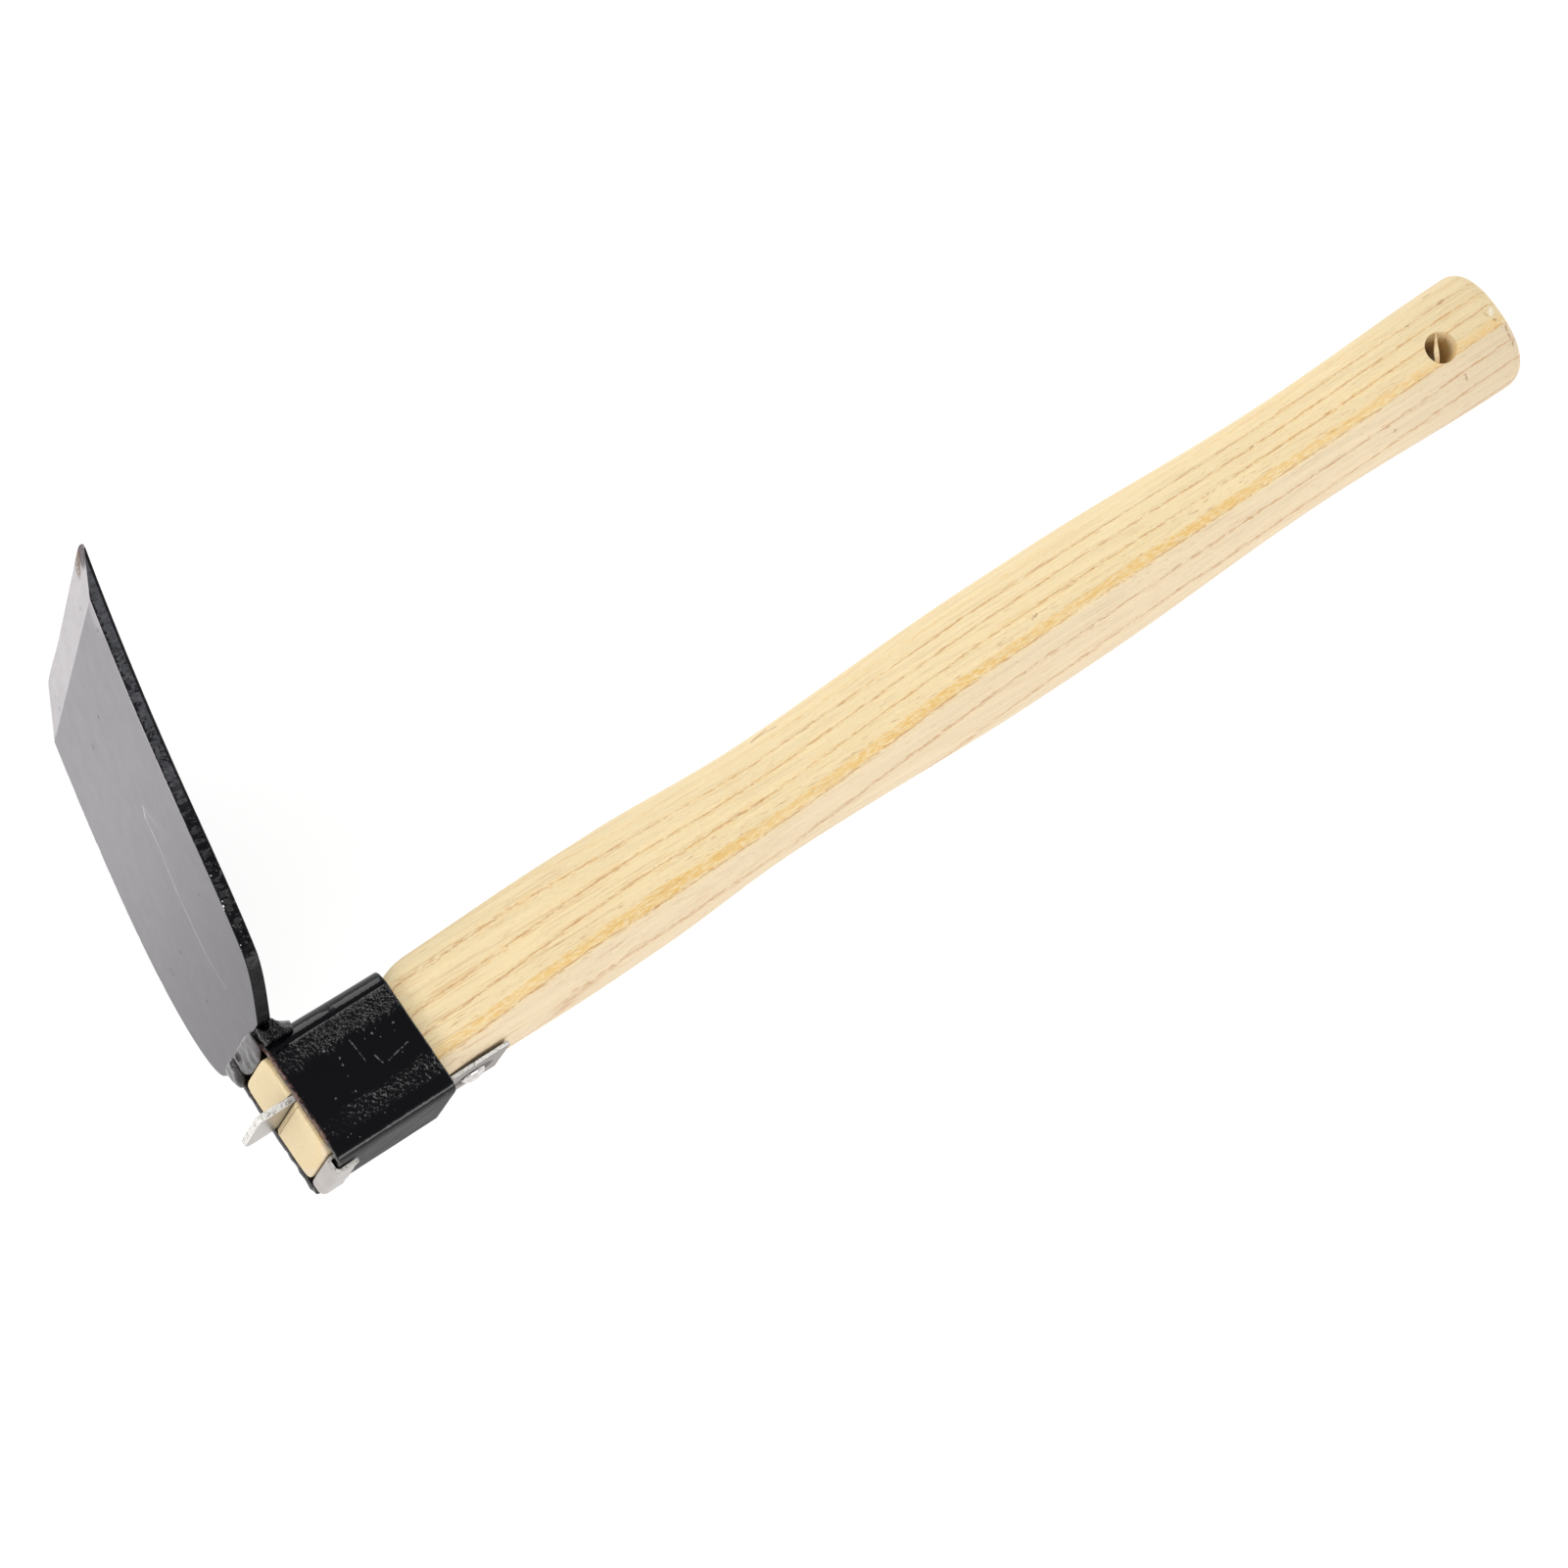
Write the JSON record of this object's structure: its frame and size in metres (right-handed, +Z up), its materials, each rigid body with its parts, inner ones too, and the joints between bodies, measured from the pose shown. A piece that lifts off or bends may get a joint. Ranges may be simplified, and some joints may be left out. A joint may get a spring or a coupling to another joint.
{
  "type": "hand hoe",
  "caption": "Short-handled hand hoe: a flat steel blade welded across a boxed steel socket that is wedged and strapped onto an oval wooden grip.",
  "frame": {"origin": "centre of the tool's box on the ground plane, with the tool lying on its side", "axes": "+X from the socket to the handle's butt, +Y towards the blade's cutting edge, +Z up"},
  "size_m": [0.4006, 0.1626, 0.0925],
  "materials": {
    "wood": "sanded, bare, with darker grain lines",
    "black_paint": "gloss black with orange peel",
    "lacquered_steel": "grey lacquered face, black edges",
    "weld": "glossy dark grey, lumpy",
    "bright_steel": "bright sheet metal"
  },
  "bodies": {
    "root": {"handle": "wood", "socket": "black_paint", "blade": "lacquered_steel", "weld_rear": "weld", "weld_front_near": "weld", "weld_front_far": "weld", "wedge": "bright_steel", "retaining_strap": "bright_steel", "strap_nail": "bright_steel"}
  },
  "joints": []
}
